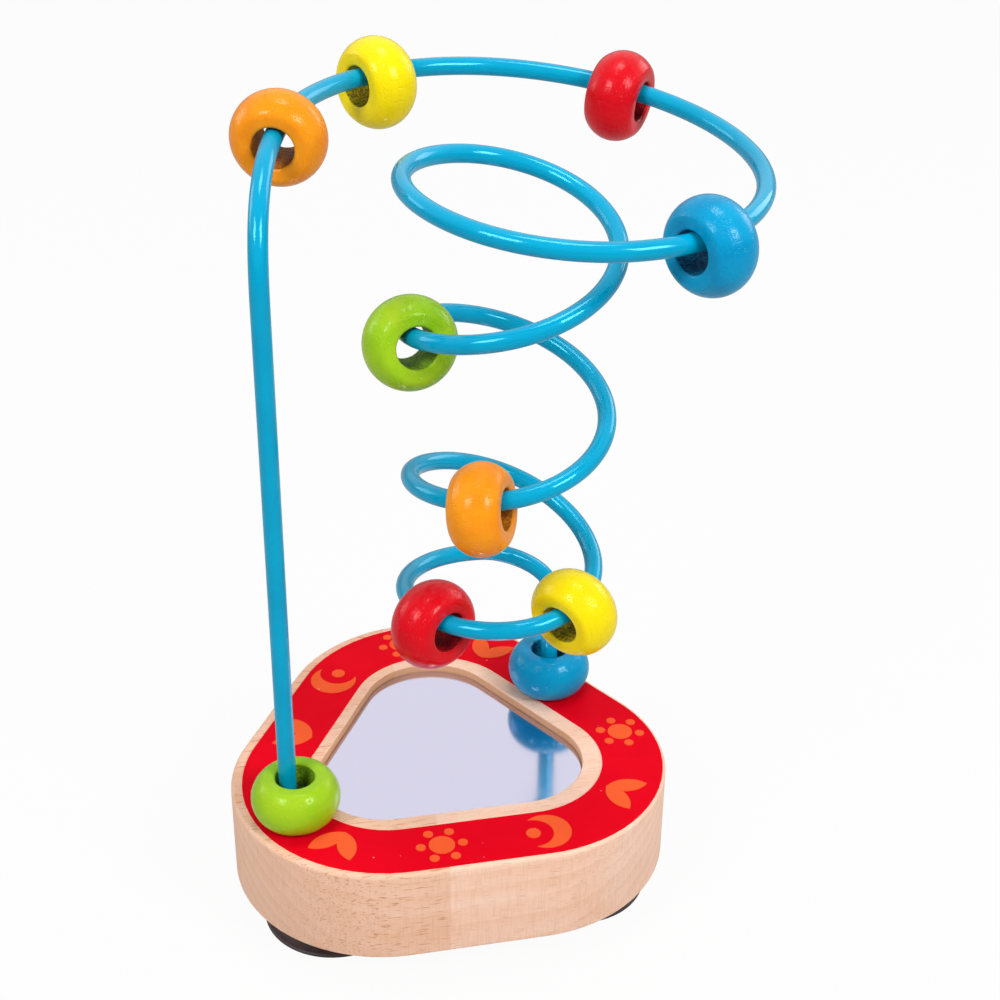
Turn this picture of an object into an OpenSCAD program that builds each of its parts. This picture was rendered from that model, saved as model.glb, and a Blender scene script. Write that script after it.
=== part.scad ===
// Bead maze: a rounded three-cornered wooden base on suction cups, a mirror let into its top,
// and one bent wire that carries ten loose wooden beads. Millimetres, +Z up, origin on the table
// under the middle of the base, with one corner of the base towards +Y.

/* [Base] */
// Distance of the three corner centres from the middle of the base
corner_reach = 21; // [18:0.5:26]
// Radius of the rounded corners
corner_r = 43; // [40:0.5:50]
// Thickness of the wooden block
base_t = 28; // [24:0.5:40]
// Depth of the holes that hold the two ends of the wire
wire_seat = 18; // [12:0.5:20]
// Radial room round the wire in its holes
seat_gap = 0.1; // [0.05:0.05:0.3]

/* [Mirror] */
// Corner radius of the recess for the mirror
recess_r = 19.5; // [16:0.5:21]
// Depth of the recess below the top of the block
recess_depth = 4.5; // [3.5:0.5:8]
// Thickness of the mirror
mirror_t = 1.5; // [1:0.25:2.5]
// Thickness of the adhesive pad under the mirror
pad_t = 0.5; // [0.25:0.25:1]
// Room round the mirror in its recess
mirror_gap = 0.3; // [0.1:0.1:0.8]
// How far the pad stays back from the mirror's edge
pad_inset = 3; // [1:0.5:6]

/* [Print] */
// Bare wood between the print and the outer edge
print_margin = 2; // [1:0.25:3]
// Bare wood between the recess and the print
print_rim = 4.5; // [2:0.25:6]
// Thickness of the red print
print_t = 0.3; // [0.2:0.1:0.5]
// Thickness of the orange motifs on the print
motif_t = 0.2; // [0.1:0.1:0.4]
// How far the print sits off centre, to the right
print_shift_x = 1; // [0:0.25:1.5]
// How far the print sits off centre, to the front
print_shift_y = 0.75; // [0:0.25:1.5]
// Size of a motif across
motif_d = 14; // [10:0.5:15]
// Places for motifs round the print
motif_places = 11; // [9:1:11]

/* [Wire] */
// Diameter of the coated wire
wire_d = 4.8; // [3.5:0.1:6]
// Radius of the narrow coil
coil_r = 25.5; // [22:0.5:30]
// Radius of the wide loop at the top
loop_r = 62; // [56:1:68]
// Height of the wide loop above the top of the block
wire_h = 180; // [165:1:200]
// Axis of the coil, to the right of the middle of the base
coil_x = 15.5; // [12:0.5:19]
// Axis of the coil, in front of the middle of the base
coil_y = 8; // [4:0.5:12]
// Foot of the tall upright end, to the left of the middle
post_x = 46.5; // [43:0.5:48]
// Foot of the tall upright end, in front of the middle
post_y = 23; // [20:0.5:26]
// Foot of the short upright end, to the right of the middle
tail_x = 35.5; // [34:0.5:38]
// Foot of the short upright end, behind the middle
tail_y = 20; // [18:0.5:23]
// Height of the bend between the wide loop and the tall end
bend_drop = 33; // [26:1:40]
// Height of the bend between the coil and the short end
tail_drop = 14; // [10:0.5:18]

/* [Beads] */
// Diameter of a bead
bead_d = 24; // [20:0.5:27]
// Thickness of a bead along its bore
bead_t = 13.5; // [12:0.5:15.5]
// Diameter of the bore
bead_bore = 10.5; // [9.5:0.25:12]
// Radius of the rounded outside of a bead
crown_r = 8.25; // [7.5:0.25:10]
// Room between the wire and the top of the bore where a bead hangs
hang_gap = 0.6; // [0.4:0.1:1]
// Room under a bead that stands on the print
stand_gap = 0.2; // [0.1:0.1:0.5]

/* [Suction cups] */
// Diameter of the lip of a cup
cup_d = 40; // [34:1:44]
// Height of a cup
cup_h = 10; // [8:0.5:14]
// Distance of the cups from the middle of the base
cup_reach = 40; // [36:0.5:42]
// Thickness of the lip at its edge
lip_t = 1.2; // [0.8:0.1:2]
// Width of the flat ring that the lip stands on
lip_w = 2.5; // [1.5:0.25:4]
// Diameter of the hub under the block
hub_d = 18; // [15:0.5:24]
// Height of the straight hub
hub_t = 2.5; // [1.5:0.25:4]
// Thickness of the rubber over the hollow
roof_t = 3.5; // [2.5:0.25:5]
// Room round the screw's head in the hollow
head_room = 3.5; // [2:0.5:5]
// Diameter of the screw's shank
screw_d = 3.5; // [3:0.25:4.5]
// Length of the screw in the wood
screw_grip = 12; // [8:0.5:16]
// Diameter of the screw's head
screw_head_d = 7; // [6:0.5:9]
// Height of the screw's head
screw_head_t = 2.2; // [1.6:0.2:3]
// Radial room round the shank
screw_gap = 0.1; // [0.05:0.05:0.2]

/* [Hidden] */
$fn = 64;
// Overrun of every cut
over = 1;
corner_turns = [-150, -30, 90];
block_z = cup_h;
top_z = block_z + base_t;
recess_z = top_z - recess_depth;
print_r = corner_r - print_margin;
print_inner_r = recess_r + print_rim;
// Middle of the printed band, measured from a corner centre
band_r = (print_r + print_inner_r) / 2;
wire_r = wire_d / 2;
cup_r = cup_d / 2;
// Colours of the painted beads
green_paint = "#96c31e";
orange_paint = "#f79414";
yellow_paint = "#fae60a";
red_paint = "#e10a1e";
blue_paint = "#0091d2";

// The coil, one entry for each quarter turn from the short end up to the tall end
first_turn = 90;
last_turn = 1590;
quarter = 90;
// Radii in the narrow coil as shares of coil_r, then in the wide loop as shares of loop_r
coil_radius_shares = [1.22, 1, 0.98, 0.9, 0.96, 0.98, 1, 1, 1, 1.02, 1.04, 1.05, 1.08, 0.98];
loop_radius_shares = [0.46, 1.16, 1.08, 0.82];
// Heights as shares of wire_h
height_shares = [0.265, 0.32, 0.32, 0.35, 0.45, 0.515, 0.535, 0.605, 0.695, 0.74, 0.78, 0.86,
    0.94, 0.955, 0.92, 0.91, 1.02, 0.99];
// Pull of the bends, as shares of their heights
bend_pull_share = 0.77;
tail_pull_share = 0.55;
turn_radii = concat([for (s = coil_radius_shares) s * coil_r], [for (s = loop_radius_shares) s * loop_r]);
turn_heights = [for (s = height_shares) top_z + s * wire_h];

// Entry i of a list, held at its ends
function held(list, i) = list[max(0, min(len(list) - 1, i))];
// Smooth curve through the neighbourhood of a list's entries, at place t
function eased(list, t) =
    let (i = min(floor(t), len(list) - 2), u = t - i)
    (pow(1 - u, 3) * held(list, i - 1) + (3 * pow(u, 3) - 6 * u * u + 4) * held(list, i)
    + (3 * u + 3 * u * u - 3 * pow(u, 3) + 1) * held(list, i + 1) + pow(u, 3) * held(list, i + 2)) / 6;
function unit(v) = v / norm(v);
// Point of the coil at a turn angle
function coil_at(turn) =
    let (t = turn / quarter - 1, r = eased(turn_radii, t))
    [coil_x + r * cos(turn), r * sin(turn) - coil_y, eased(turn_heights, t)];
function coil_dir(turn) = unit(coil_at(turn + 1) - coil_at(turn - 1));
function bezier(a, b, c, d, t) =
    pow(1 - t, 3) * a + 3 * pow(1 - t, 2) * t * b + 3 * (1 - t) * t * t * c + pow(t, 3) * d;
coil_start = coil_at(first_turn);
coil_end = coil_at(last_turn);
post_top = [-post_x, -post_y, coil_end.z - bend_drop];
tail_top = [tail_x, tail_y, coil_start.z - tail_drop];
seat_z = top_z - wire_seat;
bend_pull = bend_pull_share * bend_drop;
tail_pull = tail_pull_share * tail_drop;
up = [0, 0, 1];
// Point of the wire at a turn angle; the quarter turns beyond the coil are the two bends
function wire_at(turn) =
    turn < first_turn
    ? bezier(tail_top, tail_top + tail_pull * up, coil_start - tail_pull * coil_dir(first_turn), coil_start,
        1 - (first_turn - turn) / quarter)
    : turn > last_turn
    ? bezier(coil_end, coil_end + bend_pull * coil_dir(last_turn), post_top + bend_pull * up, post_top,
        (turn - last_turn) / quarter)
    : coil_at(turn);
function wire_dir(turn) = unit(wire_at(turn + 1) - wire_at(turn - 1));

coil_step = 7.5;
bend_step = 9;
route = concat(
    [[tail_x, tail_y, seat_z]],
    [for (turn = [first_turn - quarter : bend_step : first_turn - bend_step]) wire_at(turn)],
    [for (turn = [first_turn : coil_step : last_turn]) wire_at(turn)],
    [for (turn = [last_turn + bend_step : bend_step : last_turn + quarter]) wire_at(turn)],
    [[-post_x, -post_y, seat_z]]);
stops = len(route);
sides = 12;
// Direction of the wire at each stop of its route
route_dirs = [for (i = [0 : stops - 1])
    unit(route[min(i + 1, stops - 1)] - route[max(i - 1, 0)])];
// Sideways direction at each stop, carried along without twist
route_sides = [for (i = 0, s = [1, 0, 0]; i < stops;
    i = i + 1, s = i < stops ? unit(s - (s * route_dirs[i]) * route_dirs[i]) : s) s];

// Outline of the base at a corner radius
module outline(r) {
    hull()
        for (turn = corner_turns)
            rotate(turn) translate([corner_reach, 0]) circle(r);
}

module base_block() {
    color("burlywood")
        difference() {
            translate([0, 0, block_z]) linear_extrude(base_t) outline(corner_r);
            translate([0, 0, recess_z]) linear_extrude(recess_depth + over) outline(recess_r);
            for (foot = [[-post_x, -post_y], [tail_x, tail_y]])
                translate([foot.x, foot.y, seat_z])
                    cylinder(r = wire_r + seat_gap, h = wire_seat + over);
            for (turn = corner_turns)
                rotate(turn) translate([cup_reach, 0, block_z - over])
                    cylinder(d = screw_d + 2 * screw_gap, h = screw_grip + 2 * over);
        }
}

module top_print() {
    color("crimson")
        difference() {
            translate([print_shift_x, -print_shift_y, top_z]) linear_extrude(print_t)
                difference() {
                    outline(print_r);
                    outline(print_inner_r);
                }
            for (foot = [[-post_x, -post_y], [tail_x, tail_y]])
                translate([foot.x, foot.y, top_z - over])
                    cylinder(r = wire_r + seat_gap, h = print_t + 2 * over);
        }
}

// The printed band's middle line: three arcs round the corners, three straight sides
arc_run = band_r * PI * 2 / 3;
side_run = corner_reach * sqrt(3);
third_run = arc_run + side_run;
// Point and outward turn on the middle line, at a run from the middle of the first corner
function band_at(run) =
    let (k = floor((run + arc_run / 2) / third_run), s = run + arc_run / 2 - k * third_run,
        turn = corner_turns[0] + 120 * k, along = max(0, s - arc_run),
        out = turn - 60 + 120 * min(s, arc_run) / arc_run)
    [corner_reach * cos(turn) + band_r * cos(out) - along * sin(out),
     corner_reach * sin(turn) + band_r * sin(out) + along * cos(out), out];

// Sizes of the motifs as shares of motif_d, and a leaf's roundness as a share of its length
leaf_share = 0.74;
leaf_round_share = 0.75;
leaf_spread = 34;
sun_share = 0.5;
ray_share = 0.19;
ray_count = 6;
moon_share = 0.96;
moon_cut_share = 0.78;
moon_shift_share = 0.26;
seed_share = 0.28;

// A pair of pointed leaves
module leaves() {
    leaf_l = leaf_share * motif_d;
    for (side = [-1, 1])
        translate([0, -motif_d / 3]) rotate(side * leaf_spread + 90) translate([leaf_l / 2, 0])
            intersection() {
                translate([0, -leaf_l / 2]) circle(leaf_round_share * leaf_l);
                translate([0, leaf_l / 2]) circle(leaf_round_share * leaf_l);
            }
}

// A disc with small dots round it
module sun() {
    circle(d = sun_share * motif_d);
    for (k = [0 : ray_count - 1])
        rotate(k * 360 / ray_count) translate([(motif_d - ray_share * motif_d) / 2, 0])
            circle(d = ray_share * motif_d);
}

// A crescent with a dot in its hollow
module moon() {
    difference() {
        circle(d = moon_share * motif_d);
        translate([moon_shift_share * motif_d, 0]) circle(d = moon_cut_share * motif_d);
    }
    translate([moon_shift_share * motif_d, 0]) circle(d = seed_share * motif_d);
}

module print_motifs() {
    color("tomato")
        translate([print_shift_x, -print_shift_y, top_z + print_t])
            linear_extrude(motif_t)
                for (k = [0 : motif_places - 1])
                    if (k != (motif_places - 1) / 2)
                        let (at = band_at((k + 0.5) * 3 * third_run / motif_places))
                        translate([at.x, at.y]) rotate(at.z - 90)
                            if (k % 3 == 0) leaves();
                            else if (k % 3 == 1) sun();
                            else moon();
}

module mirror_pad() {
    color("ivory")
        translate([0, 0, recess_z])
            linear_extrude(pad_t) outline(recess_r - mirror_gap - pad_inset);
}

module mirror_plate() {
    color("lavender")
        translate([0, 0, recess_z + pad_t])
            linear_extrude(mirror_t) outline(recess_r - mirror_gap);
}

module wire() {
    ring = [for (i = [0 : stops - 1])
        let (d = route_dirs[i], s = unit(route_sides[i] - (route_sides[i] * d) * d), n = cross(d, s))
        for (k = [0 : sides - 1])
            route[i] + wire_r * (cos(k * 360 / sides) * s + sin(k * 360 / sides) * n)];
    walls = [for (i = [0 : stops - 2], k = [0 : sides - 1])
        let (a = i * sides + k, b = i * sides + (k + 1) % sides)
        each [[a, a + sides, b], [b, a + sides, b + sides]]];
    last = (stops - 1) * sides;
    caps = [for (k = [1 : sides - 2]) each [[0, k, k + 1], [last, last + k + 1, last + k]]];
    color("deepskyblue") polyhedron(ring, concat(walls, caps));
}

// A bead with its bore along Z, its middle at the origin
module bead() {
    difference() {
        rotate_extrude()
            intersection() {
                translate([bead_d / 2 - crown_r, 0]) circle(crown_r);
                translate([0, -bead_t / 2]) square([bead_d / 2 + over, bead_t]);
            }
        translate([0, 0, -bead_t / 2 - over]) cylinder(d = bead_bore, h = bead_t + 2 * over);
    }
}

// How far a hanging bead's middle is below the wire
hang = bead_bore / 2 - wire_r - hang_gap;

// Middle of the bent stretch of wire inside a bead: between the wire at its middle and at its two faces
function bead_seat(turn) =
    let (reach = bead_t / norm(wire_at(turn + 1) - wire_at(turn - 1)))
    (wire_at(turn - reach) + 2 * wire_at(turn) + wire_at(turn + reach)) / 4;

// A bead that hangs on the wire at a turn angle
module hung_bead(turn) {
    dir = wire_dir(turn);
    rise = unit(up - (up * dir) * dir);
    translate(bead_seat(turn) - hang * rise)
        rotate([0, acos(dir.z), atan2(dir.y, dir.x)]) bead();
}

// A bead that stands on the print round an upright end, leaning on it from one side
module stood_bead(foot, turn) {
    translate([foot.x + hang * cos(turn), foot.y + hang * sin(turn), top_z + print_t + stand_gap + bead_t / 2])
        bead();
}

// Turn angles at which the beads sit
orange_bend_turn = 1602;
yellow_loop_turn = 1552;
red_loop_turn = 1492;
blue_loop_turn = 1400;
green_coil_turn = 908;
orange_coil_turn = 603;
red_coil_turn = 210;
yellow_coil_turn = 307;
// Sides from which the standing beads touch their wires
green_post_side = -35;
blue_tail_side = 75;

module green_post_bead() { color(green_paint) stood_bead([-post_x, -post_y], green_post_side); }
module orange_bend_bead() { color(orange_paint) hung_bead(orange_bend_turn); }
module yellow_loop_bead() { color(yellow_paint) hung_bead(yellow_loop_turn); }
module red_loop_bead() { color(red_paint) hung_bead(red_loop_turn); }
module blue_loop_bead() { color(blue_paint) hung_bead(blue_loop_turn); }
module green_coil_bead() { color(green_paint) hung_bead(green_coil_turn); }
module orange_coil_bead() { color(orange_paint) hung_bead(orange_coil_turn); }
module red_coil_bead() { color(red_paint) hung_bead(red_coil_turn); }
module yellow_coil_bead() { color(yellow_paint) hung_bead(yellow_coil_turn); }
module blue_tail_bead() { color(blue_paint) stood_bead([tail_x, tail_y], blue_tail_side); }

// A suction cup in its place under one corner
module suction_cup(turn) {
    shank_r = screw_d / 2 + screw_gap;
    roof_z = cup_h - roof_t;
    color("#2b2226")
        rotate(turn) translate([cup_reach, 0, 0])
            rotate_extrude()
                polygon([[shank_r, cup_h], [hub_d / 2, cup_h], [hub_d / 2, cup_h - hub_t], [cup_r, lip_t],
                    [cup_r, 0], [cup_r - lip_w, 0], [screw_head_d / 2 + head_room, roof_z], [shank_r, roof_z]]);
}

module suction_cup_left() { suction_cup(corner_turns[0]); }
module suction_cup_right() { suction_cup(corner_turns[1]); }
module suction_cup_back() { suction_cup(corner_turns[2]); }

module cup_screws() {
    head_z = cup_h - roof_t - screw_head_t;
    color("silver")
        for (turn = corner_turns)
            rotate(turn) translate([cup_reach, 0, 0])
                union() {
                    translate([0, 0, head_z]) cylinder(d = screw_head_d, h = screw_head_t);
                    translate([0, 0, head_z + screw_head_t / 2])
                        cylinder(d = screw_d, h = screw_head_t / 2 + roof_t + screw_grip);
                }
}

base_block();
top_print();
print_motifs();
mirror_pad();
mirror_plate();
wire();
green_post_bead();
orange_bend_bead();
yellow_loop_bead();
red_loop_bead();
blue_loop_bead();
green_coil_bead();
orange_coil_bead();
red_coil_bead();
yellow_coil_bead();
blue_tail_bead();
suction_cup_left();
suction_cup_right();
suction_cup_back();
cup_screws();
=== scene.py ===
"""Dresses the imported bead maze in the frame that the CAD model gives.

The base, the wire, the beads and the cups are modelled again in finer detail. The print, the mirror, the pad
and the screws keep their solids and get their finishes here. A small studio is set up round the toy.
"""

from __future__ import annotations

import logging
import math
from dataclasses import dataclass, field
from enum import Enum

import bpy
from bpy.types import Material, Node, NodeOutputs, NodeSocket, NodeTree, Object
from mathutils import Euler, Matrix, Vector

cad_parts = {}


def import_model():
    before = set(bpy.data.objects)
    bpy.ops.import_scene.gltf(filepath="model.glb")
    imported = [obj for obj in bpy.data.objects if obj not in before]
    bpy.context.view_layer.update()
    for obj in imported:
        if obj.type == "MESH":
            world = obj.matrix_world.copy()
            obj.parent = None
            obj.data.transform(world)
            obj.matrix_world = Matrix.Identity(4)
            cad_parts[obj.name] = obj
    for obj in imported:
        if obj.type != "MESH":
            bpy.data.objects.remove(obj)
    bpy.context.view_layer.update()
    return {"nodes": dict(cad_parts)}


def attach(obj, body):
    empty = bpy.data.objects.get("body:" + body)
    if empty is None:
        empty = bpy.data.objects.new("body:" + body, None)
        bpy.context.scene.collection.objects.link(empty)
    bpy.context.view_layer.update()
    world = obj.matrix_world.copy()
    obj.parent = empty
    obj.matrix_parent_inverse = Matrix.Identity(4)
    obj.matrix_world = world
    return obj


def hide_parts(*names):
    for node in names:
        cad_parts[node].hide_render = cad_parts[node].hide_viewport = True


LOG = logging.getLogger("bead_maze")
MM = 0.001
MERGE_GAP = 1e-6
UP = Vector((0, 0, 1))
BASE_BODY = "base"

Colour = tuple[float, float, float, float]
Pair = tuple[float, float]
Triple = tuple[float, float, float]
Profile = list[Pair]


def srgb(code: str) -> Colour:
    """Turns a hex colour into linear values.

    Args:
        code: six hex digits after a hash.

    Returns:
        Linear red, green, blue and full alpha.
    """
    values = [int(code[i:i + 2], 16) / 255 for i in (1, 3, 5)]
    linear = [v / 12.92 if v <= 0.04045 else ((v + 0.055) / 1.055) ** 2.4 for v in values]
    return (linear[0], linear[1], linear[2], 1.0)


def grey(value: float) -> Colour:
    """Gives a linear grey, from 0 for black to 1 for white."""
    return (value, value, value, 1.0)


def deselect() -> None:
    """Leaves edit mode and clears the selection."""
    if bpy.context.object is not None and bpy.context.object.mode != "OBJECT":
        bpy.ops.object.mode_set(mode="OBJECT")
    bpy.ops.object.select_all(action="DESELECT")


def only(piece: Object) -> None:
    """Makes one object the only selected and active one."""
    deselect()
    piece.select_set(True)
    bpy.context.view_layer.objects.active = piece


def settle(piece: Object) -> None:
    """Puts an object's place into its mesh, so that the object sits at the origin."""
    only(piece)
    bpy.ops.object.transform_apply(location=True, rotation=True, scale=True)


def smooth(piece: Object, angle: float) -> None:
    """Merges a mesh's doubles, turns its faces outwards and smooths it.

    Args:
        piece: the mesh object.
        angle: the largest angle in degrees between two faces that still blend.
    """
    only(piece)
    bpy.ops.object.mode_set(mode="EDIT")
    bpy.ops.mesh.select_all(action="SELECT")
    bpy.ops.mesh.remove_doubles(threshold=MERGE_GAP)
    bpy.ops.mesh.normals_make_consistent(inside=False)
    bpy.ops.object.mode_set(mode="OBJECT")
    bpy.ops.object.shade_smooth_by_angle(angle=math.radians(angle))


class Pick(Enum):
    """What is picked in a mesh."""

    CORNERS = "VERT"
    EDGES = "EDGE"


def clear_picks(piece: Object, pick: Pick) -> None:
    """Clears the selection inside a mesh, so that it can be picked in code.

    Args:
        piece: the mesh object.
        pick: what is to be picked.
    """
    only(piece)
    bpy.ops.object.mode_set(mode="EDIT")
    bpy.ops.mesh.select_mode(type=pick.value)
    bpy.ops.mesh.select_all(action="DESELECT")
    bpy.ops.object.mode_set(mode="OBJECT")


def copied(pattern: Object, name: str) -> Object:
    """Copies a pattern.

    Args:
        pattern: the object that is copied.
        name: name of the copy.

    Returns:
        The copy, with its own mesh.
    """
    only(pattern)
    bpy.ops.object.duplicate(linked=False)
    piece = bpy.context.object
    piece.name = piece.data.name = name
    return piece


def dress(piece: Object, material: Material) -> None:
    """Gives a whole object one material."""
    piece.data.materials.clear()
    piece.data.materials.append(material)


def turned(name: str, profile: Profile, sides: int) -> Object:
    """Turns a closed profile round Z, ring by ring, as on a lathe.

    Args:
        name: name of the piece.
        profile: radius and height of each ring, in metres; the last joins the first.
        sides: corners of each ring.

    Returns:
        The closed mesh object, with its axis on the origin.
    """
    deselect()
    radius, height = profile[0]
    bpy.ops.mesh.primitive_circle_add(vertices=sides, radius=radius, location=(0, 0, height))
    piece = bpy.context.object
    piece.name = piece.data.name = name
    settle(piece)
    bpy.ops.object.mode_set(mode="EDIT")
    bpy.ops.mesh.select_all(action="SELECT")
    for next_radius, next_height in profile[1:] + profile[:1]:
        bpy.ops.mesh.extrude_edges_move(TRANSFORM_OT_translate={"value": (0, 0, next_height - height)})
        grow = next_radius / radius
        bpy.ops.transform.resize(value=(grow, grow, 1), center_override=(0, 0, next_height))
        radius, height = next_radius, next_height
    bpy.ops.object.mode_set(mode="OBJECT")
    return piece


def arc(centre: Pair, radius: float, start: float, end: float, steps: int) -> Profile:
    """Gives the points of an arc in a profile.

    Args:
        centre: radius and height of the arc's centre.
        radius: radius of the arc.
        start: first angle in degrees.
        end: last angle in degrees.
        steps: number of chords.

    Returns:
        Radius and height of each point.
    """
    angles = [math.radians(start + (end - start) * k / steps) for k in range(steps + 1)]
    return [(centre[0] + radius * math.cos(a), centre[1] + radius * math.sin(a)) for a in angles]


class Socket(Enum):
    """Kinds of sockets on a node group."""

    VECTOR = "NodeSocketVector"
    VALUE = "NodeSocketFloat"


class Tree:
    """Adds and joins nodes in a material, a world or a node group."""

    def __init__(self, tree: NodeTree) -> None:
        """Starts from an emptied tree."""
        self.tree = tree
        tree.nodes.clear()

    def put(self, into: NodeSocket, value: object) -> None:
        """Links a socket into an input, or sets the input to a plain value.

        Args:
            into: the input.
            value: a socket or a plain value.
        """
        if isinstance(value, NodeSocket):
            self.tree.links.new(value, into)
        else:
            into.default_value = value

    def add(self, kind: str, settings: dict[str, object] | None = None,
            sockets: dict[str | int, object] | None = None) -> Node:
        """Adds a node.

        Args:
            kind: type of node without its ShaderNode prefix.
            settings: properties of the node.
            sockets: values, or sockets to link, for its inputs.

        Returns:
            The new node.
        """
        node = self.tree.nodes.new("ShaderNode" + kind)
        for key, value in (settings or {}).items():
            setattr(node, key, value)
        for key, value in (sockets or {}).items():
            self.put(node.inputs[key], value)
        return node

    def group(self, tree: NodeTree, sockets: dict[str | int, object]) -> NodeOutputs:
        """Places a node group with its own values and returns its outputs."""
        return self.add("Group", {"node_tree": tree}, sockets).outputs

    def math(self, operation: str, first: object, second: object = 0.0) -> NodeSocket:
        """Adds a Math node and returns its output."""
        return self.add("Math", {"operation": operation}, {0: first, 1: second}).outputs[0]

    def plus(self, first: object, second: object) -> NodeSocket:
        """Adds two values."""
        return self.math("ADD", first, second)

    def times(self, first: object, second: object) -> NodeSocket:
        """Multiplies two values."""
        return self.math("MULTIPLY", first, second)

    def most(self, first: object, second: object) -> NodeSocket:
        """Gives the larger of two values."""
        return self.math("MAXIMUM", first, second)

    def between(self, share: NodeSocket, first: float, last: float) -> NodeSocket:
        """Goes from a first to a last value as a share goes from 0 to 1."""
        return self.plus(first, self.times(share, last - first))

    def ramp(self, value: NodeSocket, low: float, high: float) -> NodeSocket:
        """Stretches the values from low to high over 0 to 1, held at both ends."""
        sockets = {"Value": value, "From Min": low, "From Max": high}
        return self.add("MapRange", {"clamp": True, "interpolation_type": "SMOOTHSTEP"}, sockets).outputs[0]

    def mix(self, mask: object, first: object, second: object) -> NodeSocket:
        """Mixes two colours by a mask and returns the mixed colour."""
        return self.add("Mix", {"data_type": "RGBA"}, {0: mask, 6: first, 7: second}).outputs[2]

    def noise(self, vector: NodeSocket, scale: object, detail: float, **more: float) -> NodeSocket:
        """Adds cloudy noise and returns its value; further inputs go by their names."""
        sockets = {"Vector": vector, "Scale": scale, "Detail": detail, **more}
        return self.add("TexNoise", sockets=sockets).outputs[0]

    def scaled(self, vector: NodeSocket, scale: Triple) -> NodeSocket:
        """Scales a pattern's coordinates along each axis."""
        return self.add("Mapping", sockets={"Vector": vector, "Scale": scale}).outputs[0]

    def parts(self, vector: NodeSocket) -> NodeOutputs:
        """Splits a vector into its X, Y and Z."""
        return self.add("SeparateXYZ", sockets={"Vector": vector}).outputs

    def reach(self, vector: NodeSocket) -> NodeSocket:
        """Gives a point's distance from the Z axis."""
        flat = self.add("VectorMath", {"operation": "MULTIPLY"}, {0: vector, 1: (1, 1, 0)})
        return self.add("VectorMath", {"operation": "LENGTH"}, {0: flat.outputs[0]}).outputs["Value"]


@dataclass
class Effects:
    """The shared effects, each a node group that is built once."""

    band_scale: Triple = (7.0, 90.0, 60.0)
    band_detail: float = 5.0
    band_roughness: float = 0.55
    band_bend: float = 0.4
    band_span: Pair = (0.3, 0.72)
    pore_scale: Triple = (230.0, 2300.0, 2300.0)
    pore_detail: float = 2.0
    pore_span: Pair = (0.54, 0.72)
    bare_share: float = 0.6
    cloud_detail: float = 3.0
    cloud_span: Pair = (0.3, 0.7)
    grain: NodeTree = field(init=False)
    specks: NodeTree = field(init=False)
    mottle: NodeTree = field(init=False)

    def __post_init__(self) -> None:
        """Builds the groups."""
        self.grain = self._grain()
        self.specks = self._specks()
        self.mottle = self._mottle()

    @staticmethod
    def _open(name: str, inputs: dict[str, Socket], outputs: dict[str, Socket]) -> tuple[Tree, Node, Node]:
        """Starts a group.

        Args:
            name: name of the group.
            inputs: names and kinds of its inputs.
            outputs: names and kinds of its outputs.

        Returns:
            The tree, its input node and its output node.
        """
        data = bpy.data.node_groups.new(name, "ShaderNodeTree")
        for label, kind in inputs.items():
            data.interface.new_socket(label, in_out="INPUT", socket_type=kind.value)
        for label, kind in outputs.items():
            data.interface.new_socket(label, in_out="OUTPUT", socket_type=kind.value)
        tree = Tree(data)
        return tree, data.nodes.new("NodeGroupInput"), data.nodes.new("NodeGroupOutput")

    def _grain(self) -> NodeTree:
        """Builds wood grain that runs along X: broad tones and short pores.

        Returns:
            The group.
        """
        tree, source, sink = self._open(
            "wood_grain", {"Vector": Socket.VECTOR}, {"Tone": Socket.VALUE, "Pores": Socket.VALUE})
        vector = source.outputs["Vector"]
        bands = tree.noise(tree.scaled(vector, self.band_scale), 1.0, self.band_detail,
                           Roughness=self.band_roughness, Distortion=self.band_bend)
        pores = tree.noise(tree.scaled(vector, self.pore_scale), 1.0, self.pore_detail)
        tree.put(sink.inputs["Tone"], tree.ramp(bands, *self.band_span))
        tree.put(sink.inputs["Pores"], tree.ramp(pores, *self.pore_span))
        return tree.tree

    def _specks(self) -> NodeTree:
        """Builds scattered specks, such as dust.

        Returns:
            The group.
        """
        tree, source, sink = self._open(
            "specks", {"Vector": Socket.VECTOR, "Scale": Socket.VALUE, "Size": Socket.VALUE},
            {"Mask": Socket.VALUE})
        spread = {"Vector": source.outputs["Vector"], "Scale": source.outputs["Scale"], "Randomness": 1.0}
        cells = tree.add("TexVoronoi", {"feature": "F1"}, spread).outputs
        drawn = tree.add("SeparateColor", sockets={"Color": cells["Color"]}).outputs
        inside = tree.math("LESS_THAN", cells["Distance"], tree.times(drawn[0], source.outputs["Size"]))
        some = tree.math("GREATER_THAN", drawn[1], self.bare_share)
        tree.put(sink.inputs["Mask"], tree.times(inside, some))
        return tree.tree

    def _mottle(self) -> NodeTree:
        """Builds a soft cloudy value between two limits.

        Returns:
            The group.
        """
        inputs = {"Vector": Socket.VECTOR, "Scale": Socket.VALUE, "Low": Socket.VALUE, "High": Socket.VALUE}
        tree, source, sink = self._open("mottle", inputs, {"Value": Socket.VALUE})
        cloud = tree.noise(source.outputs["Vector"], source.outputs["Scale"], self.cloud_detail)
        low, high = self.cloud_span
        limits = {"Value": cloud, "From Min": low, "From Max": high,
                  "To Min": source.outputs["Low"], "To Max": source.outputs["High"]}
        tree.put(sink.inputs["Value"], tree.add("MapRange", {"clamp": True}, limits).outputs[0])
        return tree.tree


@dataclass(frozen=True)
class Cloud:
    """A soft cloudy value: the scale of its patches and the limits that it keeps."""

    scale: float
    low: float
    high: float


@dataclass(frozen=True)
class Dust:
    """Scattered specks: their colour, the scale of their spread, their size and how much they cover."""

    colour: str
    scale: float
    size: float
    cover: float


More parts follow.
